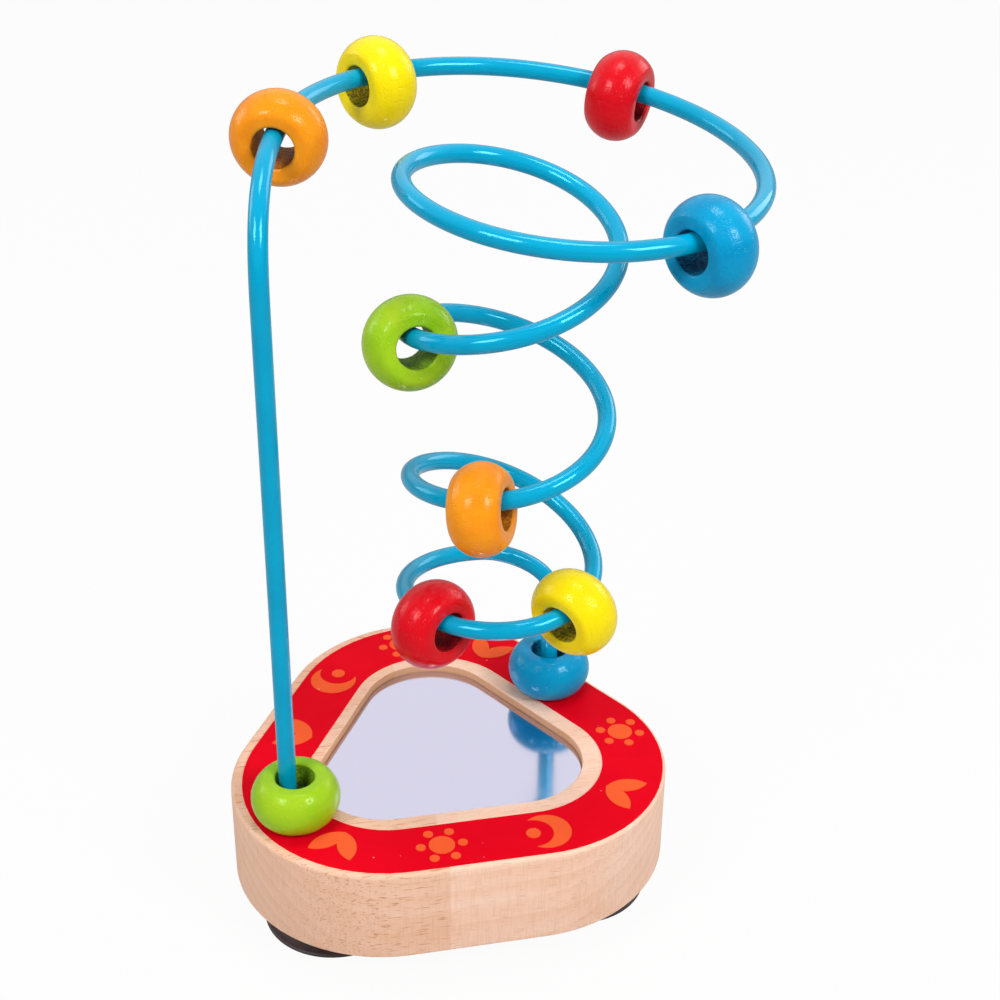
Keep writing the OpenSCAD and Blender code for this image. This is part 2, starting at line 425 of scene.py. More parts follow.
class Surface(Tree):
    """A material with one Principled shader."""

    def __init__(self, name: str, effects: Effects) -> None:
        """Makes the material with its shader and coordinates.

        Args:
            name: name of the material.
            effects: the shared node groups.
        """
        self.effects = effects
        self.material = bpy.data.materials.new(name)
        self.material.use_nodes = True
        super().__init__(self.material.node_tree)
        self.shader = self.add("BsdfPrincipled")
        self.add("OutputMaterial", sockets={"Surface": self.shader.outputs[0]})
        self.place = self.add("TexCoord").outputs["Object"]

    def feed(self, **sockets: object) -> None:
        """Sets or links inputs of the shader; an underscore in a name stands for a space."""
        for key, value in sockets.items():
            self.put(self.shader.inputs[key.replace("_", " ")], value)

    def bump(self, height: NodeSocket, depth: float, strength: float) -> None:
        """Raises the surface by a height value, to a depth in metres."""
        node = self.add("Bump", sockets={"Height": height, "Distance": depth, "Strength": strength})
        self.feed(Normal=node.outputs[0])

    def grain(self, vector: NodeSocket) -> NodeOutputs:
        """Places wood grain that runs along the X of its coordinates."""
        return self.group(self.effects.grain, {"Vector": vector})

    def cloud(self, cloud: Cloud, vector: NodeSocket | None = None) -> NodeSocket:
        """Places a cloudy value.

        Args:
            cloud: its scale and limits.
            vector: its coordinates, or none for the piece's own.

        Returns:
            The cloudy value.
        """
        sockets = {"Vector": self.place if vector is None else vector,
                   "Scale": cloud.scale, "Low": cloud.low, "High": cloud.high}
        return self.group(self.effects.mottle, sockets)[0]

    def dusted(self, dust: Dust, tone: object) -> NodeSocket:
        """Scatters dust over a colour.

        Args:
            dust: the specks.
            tone: the colour below them.

        Returns:
            The dusted colour.
        """
        sockets = {"Vector": self.place, "Scale": dust.scale, "Size": dust.size}
        mask = self.times(self.group(self.effects.specks, sockets)[0], dust.cover)
        return self.mix(mask, tone, srgb(dust.colour))


@dataclass(frozen=True)
class Finish:
    """A finish, with the name of its material."""

    name: str

    def fill(self, surface: Surface) -> None:
        """Feeds the surface's shader; each finish does so in its own way."""
        raise NotImplementedError

    def make(self, effects: Effects) -> Material:
        """Builds the material.

        Args:
            effects: the shared node groups.

        Returns:
            The material.
        """
        surface = Surface(self.name, effects)
        self.fill(surface)
        return surface.material


@dataclass(frozen=True)
class BareWood(Finish):
    """Pale unpainted wood with short pores and year rings along X, glued from a darker and a paler stave.

    The shares of the bands and the rings go from the end grain to along the grain. Those of the pores go from
    the paler to the darker stave. The upright wall of the mirror's recess is darkened with painted shade.
    """

    name: str = "bare_wood"
    light: str = "#f7d4c0"
    dark: str = "#ecbb9c"
    pore: str = "#c27a4a"
    warm: str = "#d89c70"
    # wall: a darker brown laid on the recess wall as painted shade
    wall: str = "#c48a58"
    end_grain: Pair = (0.9, 0.4)
    joint: float = -8 * MM
    glue_line: float = 0.4 * MM
    warm_share: float = 0.3
    # Where the painted shade on the recess wall lies, how upright the surface must be and how strong it is
    recess_reach: float = 47 * MM
    recess_fade: float = 2 * MM
    recess_shade_slope: Pair = (0.8, 0.4)
    recess_shade_share: float = 0.75
    band_shares: Pair = (0.15, 0.6)
    heart: Triple = (0.0, -0.03, 0.07)
    heart_stretch: Triple = (0.2, 1.0, 1.0)
    ring_scale: float = 75.0
    ring_bend: float = 5.0
    ring_detail: float = 3.0
    ring_detail_scale: float = 0.6
    ring_shares: Pair = (0.6, 0.3)
    fuzz_scale: Triple = (2200.0, 2200.0, 160.0)
    fuzz_detail: float = 2.0
    fuzz_span: Pair = (0.45, 0.7)
    fuzz_share: float = 0.16
    pore_share: float = 0.16
    stave_pore_shares: Pair = (0.2, 0.62)
    rough: Cloud = Cloud(160.0, 0.5, 0.68)
    gloss: float = 0.35
    relief: float = 0.12 * MM
    relief_strength: float = 0.5

    def _rings(self, surface: Surface) -> NodeSocket:
        """Builds year rings round a heart line along X, below the block.

        Args:
            surface: the material.

        Returns:
            The value of the rings.
        """
        heart = surface.add("Mapping", sockets={"Vector": surface.place, "Location": self.heart,
                                                "Scale": self.heart_stretch})
        settings = {"wave_type": "RINGS", "rings_direction": "X", "wave_profile": "SAW"}
        sockets = {"Vector": heart.outputs[0], "Scale": self.ring_scale, "Distortion": self.ring_bend,
                   "Detail": self.ring_detail, "Detail Scale": self.ring_detail_scale}
        return surface.add("TexWave", settings, sockets).outputs["Fac"]

    def _tone(self, surface: Surface, bands: NodeSocket, along: NodeSocket, stave: NodeSocket) -> NodeSocket:
        """Mixes the broad bands, the year rings and the warmer stave.

        Args:
            surface: the material.
            bands: value of the broad bands.
            along: 1 where the surface runs along the grain, 0 on the end grain.
            stave: 1 on the warmer stave.

        Returns:
            The colour of the wood without its pores.
        """
        broad = surface.times(bands, surface.between(along, *self.band_shares))
        ringed = surface.times(self._rings(surface), surface.between(along, *self.ring_shares))
        pale = surface.mix(surface.plus(broad, ringed), srgb(self.light), srgb(self.dark))
        return surface.mix(surface.times(stave, self.warm_share), pale, srgb(self.warm))

    def _recess_shade(self, surface: Surface, slope: NodeSocket) -> NodeSocket:
        """Masks the upright wall of the mirror's recess, where a darker brown is laid on as painted shade.

        Args:
            surface: the material.
            slope: upward share of the surface's direction.

        Returns:
            The mask of the painted shade.
        """
        upright = surface.ramp(surface.math("ABSOLUTE", slope), *self.recess_shade_slope)
        inner = self.recess_reach - self.recess_fade
        recess = surface.ramp(surface.reach(surface.place), self.recess_reach, inner)
        return surface.times(surface.times(recess, upright), self.recess_shade_share)

    def fill(self, surface: Surface) -> None:
        """Lays pores and sanding fuzz over the tones of the wood, with painted shade on the recess wall.

        Args:
            surface: the material.
        """
        grain = surface.grain(surface.place)
        facing = surface.parts(surface.add("NewGeometry").outputs["Normal"])
        along = surface.ramp(surface.math("ABSOLUTE", facing["X"]), *self.end_grain)
        across = surface.parts(surface.place)["X"]
        stave = surface.ramp(across, self.joint + self.glue_line, self.joint - self.glue_line)
        tone = self._tone(surface, grain["Tone"], along, stave)
        # Painted shade: the upright wall of the mirror's recess is mixed towards a darker brown
        recess_shaded = surface.mix(self._recess_shade(surface, facing["Z"]), tone, srgb(self.wall))
        scratches = surface.noise(surface.scaled(surface.place, self.fuzz_scale), 1.0, self.fuzz_detail)
        fuzz = surface.times(surface.ramp(scratches, *self.fuzz_span), self.fuzz_share)
        rows = surface.times(along, surface.between(stave, *self.stave_pore_shares))
        pores = surface.times(grain["Pores"], surface.plus(self.pore_share, rows))
        surface.feed(Base_Color=surface.mix(surface.most(pores, fuzz), recess_shaded, srgb(self.pore)),
                     Roughness=surface.cloud(self.rough), Specular_IOR_Level=self.gloss)
        surface.bump(surface.math("SUBTRACT", 1.0, pores), self.relief, self.relief_strength)


@dataclass(frozen=True)
class PrintedInk(Finish):
    """Flat ink on the wood, with a little dust on it."""

    ink: str
    worn: str
    dust: Dust = Dust("#f2b3a6", 380.0, 0.12, 0.5)
    shade: Cloud = Cloud(90.0, 0.0, 0.5)
    rough: Cloud = Cloud(210.0, 0.3, 0.42)
    gloss: float = 0.03
    tooth_scale: float = 1400.0
    tooth_detail: float = 2.0
    relief: float = 0.04 * MM
    relief_strength: float = 0.4

    def fill(self, surface: Surface) -> None:
        """Lays dust over unevenly worn ink.

        Args:
            surface: the material.
        """
        tone = surface.mix(surface.cloud(self.shade), srgb(self.ink), srgb(self.worn))
        surface.feed(Base_Color=surface.dusted(self.dust, tone), Roughness=surface.cloud(self.rough),
                     Specular_IOR_Level=self.gloss)
        tooth = surface.noise(surface.place, self.tooth_scale, self.tooth_detail)
        surface.bump(tooth, self.relief, self.relief_strength)


@dataclass(frozen=True)
class MirrorFilm(Finish):
    """A silvered sheet with a faint lilac cast and a few dust specks."""

    name: str = "mirror_film"
    cast: str = "#d8d5ea"
    dust: Dust = Dust("#b9b6c6", 300.0, 0.07, 1.0)
    rough: Cloud = Cloud(60.0, 0.09, 0.14)
    wave_scale: float = 45.0
    wave_detail: float = 1.0
    relief: float = 0.2 * MM
    relief_strength: float = 0.2

    def fill(self, surface: Surface) -> None:
        """Lays dust over the slightly wavy silver.

        Args:
            surface: the material.
        """
        surface.feed(Base_Color=surface.dusted(self.dust, srgb(self.cast)), Metallic=1.0,
                     Roughness=surface.cloud(self.rough))
        wave = surface.noise(surface.place, self.wave_scale, self.wave_detail)
        surface.bump(wave, self.relief, self.relief_strength)


@dataclass(frozen=True)
class WireCoat(Finish):
    """The glossy dipped coat of the wire."""

    name: str = "wire_coat"
    tint: str = "#00a2ca"
    deep: str = "#0098c0"
    glint: str = "#80dcff"
    shade: Cloud = Cloud(70.0, 0.0, 1.0)
    rough: Cloud = Cloud(240.0, 0.08, 0.12)
    gloss: float = 0.6

    def fill(self, surface: Surface) -> None:
        """Lays the coat in two close tints."""
        tone = surface.mix(surface.cloud(self.shade), srgb(self.tint), srgb(self.deep))
        surface.feed(Base_Color=tone, Roughness=surface.cloud(self.rough), Specular_IOR_Level=self.gloss,
                     Specular_Tint=srgb(self.glint))


@dataclass(frozen=True)
class Rubber(Finish):
    """Dark moulded rubber with dust in its skin."""

    name: str = "cup_rubber"
    skin: str = "#30272a"
    bloom: str = "#4e4143"
    dust: Dust = Dust("#8d8587", 700.0, 0.16, 0.3)
    shade: Cloud = Cloud(110.0, 0.0, 0.8)
    rough: Cloud = Cloud(260.0, 0.4, 0.6)
    gloss: float = 0.4

    def fill(self, surface: Surface) -> None:
        """Lays dust over the bloomed skin."""
        tone = surface.mix(surface.cloud(self.shade), srgb(self.skin), srgb(self.bloom))
        surface.feed(Base_Color=surface.dusted(self.dust, tone), Roughness=surface.cloud(self.rough),
                     Specular_IOR_Level=self.gloss)


@dataclass(frozen=True)
class PlainPart(Finish):
    """A small hidden part: the pad or the screws."""

    light: str
    dark: str
    metallic: float
    rough: Cloud
    shade: Cloud = Cloud(320.0, 0.0, 1.0)

    def fill(self, surface: Surface) -> None:
        """Mixes the part's two tones."""
        tone = surface.mix(surface.cloud(self.shade), srgb(self.light), srgb(self.dark))
        surface.feed(Base_Color=tone, Metallic=self.metallic, Roughness=surface.cloud(self.rough))


class Paint(Enum):
    """Paints of the beads: the colour, its shade along the grain, its thin patches and a dark bore colour
    that is partly raw wood and partly painted shade.
    """

    GREEN = ("#98cb1c", "#82b40e", "#acc826", "#6f8a1a")
    ORANGE = ("#f8900a", "#e67c04", "#f8a020", "#a65c18")
    YELLOW = ("#f8e000", "#e8ce00", "#f6de14", "#8a741c")
    RED = ("#da0418", "#c20212", "#dc1422", "#7a0c14")
    BLUE = ("#0096c6", "#0082b6", "#00a0ce", "#0c4a6c")

    @property
    def slot(self) -> str:
        """Gives a slot name for this paint."""
        return self.name.lower() + "_paint"


@dataclass(frozen=True)
class PaintedWood(Finish):
    """Gloss paint on one turned bead, with the grain along the bead's own bore, torn fibres in it and painted
    shade in the bore.
    """

    paint: Paint
    centre: Vector
    turn: Euler
    bore_r: float
    bore_edge: Pair = (0.15 * MM, 0.02 * MM)
    fibre_scale: float = 1500.0
    fibre_detail: float = 3.0
    torn_span: Pair = (0.4, 0.62)
    torn_share: float = 0.6
    torn_height: float = 1.5
    lathe_scale: float = 900.0
    lathe_detail: float = 2.0
    lathe_share: float = 0.3
    grain_share: float = 0.7
    pore_depth: float = 0.8
    patches: Cloud = Cloud(110.0, 0.0, 0.7)
    rough: Cloud = Cloud(240.0, 0.12, 0.2)
    bore_rough: float = 0.4
    gloss: float = 0.28
    glint_tint: float = 0.5
    relief: float = 0.12 * MM
    relief_strength: float = 0.6

    def fill(self, surface: Surface) -> None:
        """Lays the paint over grain and lathe marks, thinner in patches, with a dark torn bore that is partly
        raw wood and partly painted shade.

        Args:
            surface: the material.
        """
        # bore: a dark colour that is partly raw wood and partly painted shade inside the hole
        coat, grain_shade, thin, bore = (srgb(code) for code in self.paint.value)
        own = {"Vector": surface.place, "Location": self.centre, "Rotation": self.turn}
        local = surface.add("Mapping", {"vector_type": "TEXTURE"}, own).outputs[0]
        laid = {"Vector": local, "Rotation": (0, math.radians(90), 0),
                "Location": (self.centre.z, self.centre.x, self.centre.y)}
        along = surface.add("Mapping", sockets=laid).outputs[0]
        grain = surface.grain(along)
        radius = surface.reach(local)
        inside = surface.ramp(radius, *(self.bore_r + edge for edge in self.bore_edge))
        torn = surface.ramp(surface.noise(local, self.fibre_scale, self.fibre_detail), *self.torn_span)
        # The bore's dark colour is partly raw torn wood and partly painted shade inside the hole
        bore_wood_and_shade = surface.mix(surface.times(torn, self.torn_share), bore, coat)
        ring = surface.add("CombineXYZ", sockets={"X": radius, "Y": surface.parts(local)["Z"]})
        lathe = surface.noise(ring.outputs[0], self.lathe_scale, self.lathe_detail)
        shade = surface.plus(surface.times(grain["Tone"], self.grain_share),
                             surface.times(lathe, self.lathe_share))
        tone = surface.mix(surface.cloud(self.patches, along), surface.mix(shade, coat, grain_shade), thin)
        rough = surface.plus(surface.cloud(self.rough), surface.times(inside, self.bore_rough))
        glint = tuple(1 + self.glint_tint * (value - 1) for value in coat)
        surface.feed(Base_Color=surface.mix(inside, tone, bore_wood_and_shade), Roughness=rough,
                     Specular_IOR_Level=self.gloss, Specular_Tint=glint)
        skin = surface.math("SUBTRACT", lathe, surface.times(grain["Pores"], self.pore_depth))
        rags = surface.times(surface.times(inside, torn), self.torn_height)
        surface.bump(surface.plus(skin, rags), self.relief, self.relief_strength)


@dataclass
class WoodenBase:
    """The rounded three-cornered block, with the print, the pad and the mirror on it."""

    corner_reach: float = 21 * MM
    corner_r: float = 43 * MM
    foot_z: float = 10 * MM
    top_z: float = 38 * MM
    recess_r: float = 19.5 * MM
    recess_depth: float = 4.5 * MM
    seat_depth: float = 18 * MM
    seat_r: float = 2.5 * MM
    drill_over: float = 2 * MM
    drill_sides: int = 40
    top_round: float = 1.2 * MM
    foot_round: float = 0.8 * MM
    recess_round: float = 0.5 * MM
    round_steps: int = 5
    height_slack: float = 0.01 * MM
    offset_slack: float = 0.2 * MM
    smooth_angle: float = 35.0
    sides: int = 144
    half_third: float = 60.0
    corners: Triple = (-150.0, -30.0, 90.0)
    seats: tuple[Pair, ...] = ((-46.5 * MM, -23 * MM), (35.5 * MM, 20 * MM))
    wood: BareWood = BareWood()
    print_ink: PrintedInk = PrintedInk("red_ink", "#e0041c", "#d4021a")
    motif_ink: PrintedInk = PrintedInk("orange_ink", "#f06032", "#e8542a", Dust("#f8c0a4", 380.0, 0.12, 0.5))
    mirror: MirrorFilm = MirrorFilm()
    foam: PlainPart = PlainPart("pad_foam", "#d8d6cc", "#c4c1b6", 0.0, Cloud(600.0, 0.8, 0.95))

    def build(self) -> Object:
        """Models the block from a ring whose thirds are pulled out to the corners.

        Returns:
            The finished block.
        """
        deselect()
        bpy.ops.mesh.primitive_circle_add(vertices=self.sides, radius=self.corner_r, fill_type="NGON",
                                          location=(0, 0, self.foot_z), rotation=(0, 0, math.pi / self.sides))
        block = bpy.context.object
        block.name = block.data.name = "wooden_base"
        settle(block)
        self._pull(block)
        bpy.ops.object.mode_set(mode="EDIT")
        bpy.ops.mesh.select_all(action="SELECT")
        bpy.ops.mesh.extrude_region_move(TRANSFORM_OT_translate={"value": (0, 0, self.top_z - self.foot_z)})
        bpy.ops.mesh.inset(thickness=self.corner_r - self.recess_r, use_even_offset=True)
        bpy.ops.mesh.extrude_region_move(TRANSFORM_OT_translate={"value": (0, 0, -self.recess_depth)})
        bpy.ops.object.mode_set(mode="OBJECT")
        self._round(block, self.top_z, self.corner_r, self.top_round)
        self._round(block, self.foot_z, self.corner_r, self.foot_round)
        self._round(block, self.top_z, self.recess_r, self.recess_round)
        for seat in self.seats:
            self._drill(block, seat)
        smooth(block, self.smooth_angle)
        return block

    def centres(self) -> list[Vector]:
        """Gives the three corner centres."""
        turns = [math.radians(corner) for corner in self.corners]
        return [Vector((math.cos(turn), math.sin(turn))) * self.corner_reach for turn in turns]

    def _pull(self, block: Object) -> None:
        """Moves each third of the ring out to the corner that it faces.

        Args:
            block: the ring.
        """
        points = [v.co.copy() for v in block.data.vertices]
        for corner, centre in zip(self.corners, self.centres()):
            clear_picks(block, Pick.CORNERS)
            for vertex, point in zip(block.data.vertices, points):
                facing = math.degrees(math.atan2(point.y, point.x))
                vertex.select = abs((facing - corner + 180) % 360 - 180) < self.half_third
            bpy.ops.object.mode_set(mode="EDIT")
            bpy.ops.transform.translate(value=(centre.x, centre.y, 0))
            bpy.ops.object.mode_set(mode="OBJECT")

    def _outside(self, point: Vector) -> float:
        """Gives a point's distance from the sides of the triangle of the corner centres.

        Args:
            point: the point.

        Returns:
            The distance in metres.
        """
        ends = self.centres()
        gaps = []
        for first, last in zip(ends, ends[1:] + ends[:1]):
            side = last - first
            share = max(0.0, min(1.0, (point.xy - first).dot(side) / side.length_squared))
            gaps.append((point.xy - first - share * side).length)
        return min(gaps)

    def _round(self, block: Object, height: float, offset: float, size: float) -> None:
        """Rounds the ring of edges at a height and an offset from the corner centres.

        Args:
            block: the wooden block.
            height: height of the ring.
            offset: distance of the ring from the triangle of the corner centres.
            size: radius of the rounding.
        """
        clear_picks(block, Pick.EDGES)
        near = [abs(v.co.z - height) < self.height_slack
                and abs(self._outside(v.co) - offset) < self.offset_slack for v in block.data.vertices]
        for edge in block.data.edges:
            edge.select = all(near[i] for i in edge.vertices)
        bpy.ops.object.mode_set(mode="EDIT")
        bpy.ops.mesh.bevel(offset=size, segments=self.round_steps, affect="EDGES")
        bpy.ops.object.mode_set(mode="OBJECT")

    def _drill(self, block: Object, seat: Pair) -> None:
        """Drills the hole of one end of the wire.

        Args:
            block: the wooden block.
            seat: place of the hole.
        """
        deselect()
        run = self.seat_depth + self.drill_over
        bpy.ops.mesh.primitive_cylinder_add(vertices=self.drill_sides, radius=self.seat_r, depth=run,
                                            location=(*seat, self.top_z - self.seat_depth + run / 2))
        drill = bpy.context.object
        only(block)
        cut = block.modifiers.new("seat", "BOOLEAN")
        cut.operation, cut.solver, cut.object = "DIFFERENCE", "EXACT", drill
        bpy.ops.object.modifier_apply(modifier=cut.name)
        bpy.data.objects.remove(drill)

    def finish(self, nodes: dict[str, Object], effects: Effects) -> list[Object]:
        """Builds the block and dresses the flat pieces on it.

        Args:
            nodes: the CAD nodes by name.
            effects: the shared node groups.

        Returns:
            The block and the flat pieces.
        """
        block = self.build()
        dress(block, self.wood.make(effects))
        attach(block, BASE_BODY)
        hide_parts("base_block")
        flat = {"top_print": self.print_ink, "print_motifs": self.motif_ink,
                "mirror_plate": self.mirror, "mirror_pad": self.foam}
        for name, finish in flat.items():
            dress(nodes[name], finish.make(effects))
        return [block, *(nodes[name] for name in flat)]


@dataclass
class BentWire:
    """The one wire: a narrow coil, a wide loop and two upright ends.

    The shares give the radius and the height at each quarter turn, from the short end up to the loop.
    """

    wire_r: float = 2.4 * MM
    coil_r: float = 25.5 * MM
    loop_r: float = 62 * MM
    rise: float = 180 * MM
    top_z: float = 38 * MM
    axis: Pair = (15.5 * MM, -8 * MM)
    post: Pair = (-46.5 * MM, -23 * MM)
    tail: Pair = (35.5 * MM, 20 * MM)
    bend_drop: float = 33 * MM
    tail_drop: float = 14 * MM
    bend_pull_share: float = 0.77
    tail_pull_share: float = 0.55
    seat_depth: float = 18 * MM
    first_turn: float = 90.0
    last_turn: float = 1590.0
    quarter: float = 90.0
    step: float = 1.5
    bevel_rings: int = 10
    smooth_angle: float = 40.0
    coil_radius_shares: tuple[float, ...] = (
        1.22, 1, 0.98, 0.9, 0.96, 0.98, 1, 1, 1, 1.02, 1.04, 1.05, 1.08, 0.98)
    loop_radius_shares: tuple[float, ...] = (0.46, 1.16, 1.08, 0.82)
    height_shares: tuple[float, ...] = (
        0.265, 0.32, 0.32, 0.35, 0.45, 0.515, 0.535, 0.605, 0.695, 0.74, 0.78, 0.86,
        0.94, 0.955, 0.92, 0.91, 1.02, 0.99)
    coat: WireCoat = WireCoat()
    radii: list[float] = field(init=False)
    heights: list[float] = field(init=False)

    def __post_init__(self) -> None:
        """Works out the radius and height at each quarter turn."""
        self.radii = [share * self.coil_r for share in self.coil_radius_shares]
        self.radii += [share * self.loop_r for share in self.loop_radius_shares]
        self.heights = [self.top_z + share * self.rise for share in self.height_shares]

    @staticmethod
    def _eased(values: list[float], place: float) -> float:
        """Reads a smooth curve near a list's entries.

        Args:
            values: the entries.
            place: index of the reading, with a fraction.

        Returns:
            The eased value.
        """
        i = min(math.floor(place), len(values) - 2)
        u = place - i
        a, b, c, d = (values[max(0, min(len(values) - 1, i + k))] for k in (-1, 0, 1, 2))
        return ((1 - u) ** 3 * a + (3 * u ** 3 - 6 * u * u + 4) * b
                + (3 * u + 3 * u * u - 3 * u ** 3 + 1) * c + u ** 3 * d) / 6

    def _coil(self, turn: float) -> Vector:
        """Gives a point of the coil.

        Args:
            turn: turn angle in degrees.

        Returns:
            The point.
        """
        place = turn / self.quarter - 1
        radius = self._eased(self.radii, place)
        angle = math.radians(turn)
        return Vector((self.axis[0] + radius * math.cos(angle), self.axis[1] + radius * math.sin(angle),
                       self._eased(self.heights, place)))

    def _coil_way(self, turn: float) -> Vector:
        """Gives the direction of the coil at a turn angle in degrees."""
        return (self._coil(turn + 1) - self._coil(turn - 1)).normalized()

    @staticmethod
    def _bezier(a: Vector, b: Vector, c: Vector, d: Vector, t: float) -> Vector:
        """Gives the point of a Bezier bend at share t."""
        return (1 - t) ** 3 * a + 3 * (1 - t) ** 2 * t * b + 3 * (1 - t) * t * t * c + t ** 3 * d

    def at(self, turn: float) -> Vector:
        """Gives a point of the wire; the two bends take the quarter turns beyond the coil.

        Args:
            turn: turn angle in degrees.

        Returns:
            The point.
        """
        if turn < self.first_turn:
            start, pull = self._coil(self.first_turn), self.tail_pull_share * self.tail_drop
            foot = Vector((*self.tail, start.z - self.tail_drop))
            ahead = start - pull * self._coil_way(self.first_turn)
            share = 1 - (self.first_turn - turn) / self.quarter
            return self._bezier(foot, foot + pull * UP, ahead, start, share)
        if turn > self.last_turn:
            end, pull = self._coil(self.last_turn), self.bend_pull_share * self.bend_drop
            foot = Vector((*self.post, end.z - self.bend_drop))
            beyond = end + pull * self._coil_way(self.last_turn)
            share = (turn - self.last_turn) / self.quarter
            return self._bezier(end, beyond, foot + pull * UP, foot, share)
        return self._coil(turn)

    def way(self, turn: float) -> Vector:
        """Gives the direction of the wire at a turn angle in degrees."""
        return (self.at(turn + 1) - self.at(turn - 1)).normalized()

    def route(self) -> list[Vector]:
        """Gives the points of the whole wire.

        Returns:
            The points, from seat to seat.
        """
        count = round((self.last_turn - self.first_turn + 2 * self.quarter) / self.step)
        turns = [self.first_turn - self.quarter + k * self.step for k in range(count + 1)]
        bottom = self.top_z - self.seat_depth
        points = [self.at(turn) for turn in turns]
        return [Vector((*self.tail, bottom)), *points, Vector((*self.post, bottom))]

    def build(self) -> Object:
        """Draws the wire as a round curve and turns it into a mesh.

        Returns:
            The finished wire.
        """
        deselect()
        bpy.ops.curve.primitive_nurbs_path_add(location=(0, 0, 0))
        wire = bpy.context.object
        wire.name = wire.data.name = "bent_wire"
        wire.data.splines.clear()
        points = self.route()
        spline = wire.data.splines.new("POLY")
        spline.points.add(len(points) - 1)
        for knot, point in zip(spline.points, points):
            knot.co = (*point, 1.0)
        wire.data.bevel_depth = self.wire_r
        wire.data.bevel_resolution = self.bevel_rings
        wire.data.use_fill_caps = True
        only(wire)
        bpy.ops.object.convert(target="MESH")
        smooth(wire, self.smooth_angle)
        return wire

    def finish(self, effects: Effects) -> list[Object]:
        """Builds and dresses the wire.

        Args:
            effects: the shared node groups.

        Returns:
            The wire.
        """
        wire = self.build()
        dress(wire, self.coat.make(effects))
        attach(wire, BASE_BODY)
        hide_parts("wire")
        return [wire]


@dataclass
class TurnedBeads:
    """Ten turned and painted beads: eight hang on the wire, two stand on the print.

    A hung bead has its name, its paint and its turn angle on the wire.
    """

    wire: BentWire
    bead_r: float = 12 * MM
    bead_t: float = 13.5 * MM
    bore_r: float = 5.25 * MM
    crown_r: float = 8.25 * MM
    edge_r: float = 2.5 * MM
    rim_r: float = 0.8 * MM
    hang_gap: float = 0.6 * MM
    stand_z: float = 38.5 * MM
    sides: int = 72
    crown_steps: int = 24
    edge_steps: int = 5
    rim_steps: int = 4
    smooth_angle: float = 40.0
    hung: tuple[tuple[str, Paint, float], ...] = (
        ("orange_bend_bead", Paint.ORANGE, 1602.0), ("yellow_loop_bead", Paint.YELLOW, 1552.0),
        ("red_loop_bead", Paint.RED, 1492.0), ("blue_loop_bead", Paint.BLUE, 1400.0),
        ("green_coil_bead", Paint.GREEN, 908.0), ("orange_coil_bead", Paint.ORANGE, 603.0),
        ("red_coil_bead", Paint.RED, 210.0), ("yellow_coil_bead", Paint.YELLOW, 307.0))
    green_post_side: float = -35.0
    blue_tail_side: float = 75.0

    @property
    def hang(self) -> float:
        """How far a bead's middle lies below the wire that carries it."""
        return self.bore_r - self.wire.wire_r - self.hang_gap

    def profile(self) -> Profile:
        """Gives the bead's outline: bore, eased rims, flat faces, soft edges and crown.

        Returns:
            The closed outline.
        """
        half, rim, edge = self.bead_t / 2, self.rim_r, self.edge_r
        middle = self.bead_r - self.crown_r
        rise = half - edge
        out = math.sqrt((self.crown_r - edge) ** 2 - rise ** 2)
        lean = math.degrees(math.atan2(rise, out))
        low = arc((self.bore_r + rim, rim - half), rim, 180, 270, self.rim_steps)
        low += arc((middle + out, -rise), edge, -90, -lean, self.edge_steps)
        crown = arc((middle, 0.0), self.crown_r, -lean, lean, self.crown_steps)[1:-1]
        high = arc((middle + out, rise), edge, lean, 90, self.edge_steps)
        high += arc((self.bore_r + rim, half - rim), rim, 90, 180, self.rim_steps)
        return low + crown + high

    def seat(self, turn: float) -> Vector:
        """Gives the middle of the bent stretch of wire inside a bead at a turn angle in degrees."""
        reach = self.bead_t / (self.wire.at(turn + 1) - self.wire.at(turn - 1)).length
        return (self.wire.at(turn - reach) + 2 * self.wire.at(turn) + self.wire.at(turn + reach)) / 4

    def hung_place(self, turn: float) -> tuple[Vector, Euler]:
        """Gives the place of a bead that hangs on the wire.

        Args:
            turn: turn angle on the wire in degrees.

        Returns:
            The bead's middle and its turn.
        """
        way = self.wire.way(turn)
        rise = (UP - UP.dot(way) * way).normalized()
        return self.seat(turn) - self.hang * rise, Euler((0, math.acos(way.z), math.atan2(way.y, way.x)))

    def stood_place(self, foot: Pair, side: float) -> tuple[Vector, Euler]:
        """Gives the place of a bead that stands round an upright end.

        Args:
            foot: place of the upright end.
            side: direction in degrees in which the bead is pushed off its wire.

        Returns:
            The bead's middle and its turn.
        """
        angle = math.radians(side)
        middle = Vector((foot[0] + self.hang * math.cos(angle), foot[1] + self.hang * math.sin(angle),
                         self.stand_z + self.bead_t / 2))
        return middle, Euler((0, 0, 0))

    def finish(self, effects: Effects) -> list[Object]:
        """Models one bead, then copies, places and paints it ten times.

        Args:
            effects: the shared node groups.

        Returns:
            The ten beads.
        """
        beads = []
        first = turned("bead_pattern", self.profile(), self.sides)
        smooth(first, self.smooth_angle)
        places = [(name, paint, *self.hung_place(turn)) for name, paint, turn in self.hung]
        post, tail = self.wire.post, self.wire.tail
        places.append(("green_post_bead", Paint.GREEN, *self.stood_place(post, self.green_post_side)))
        places.append(("blue_tail_bead", Paint.BLUE, *self.stood_place(tail, self.blue_tail_side)))
        for node, paint, middle, turn in places:
            bead = copied(first, "turned_" + node)
            bead.matrix_world = Matrix.Translation(middle) @ turn.to_matrix().to_4x4()
            settle(bead)
            dress(bead, PaintedWood(node + "_paint", paint, middle, turn, self.bore_r).make(effects))
            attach(bead, node + "_body")
            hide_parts(node)
            beads.append(bead)
        bpy.data.objects.remove(first)
        return beads


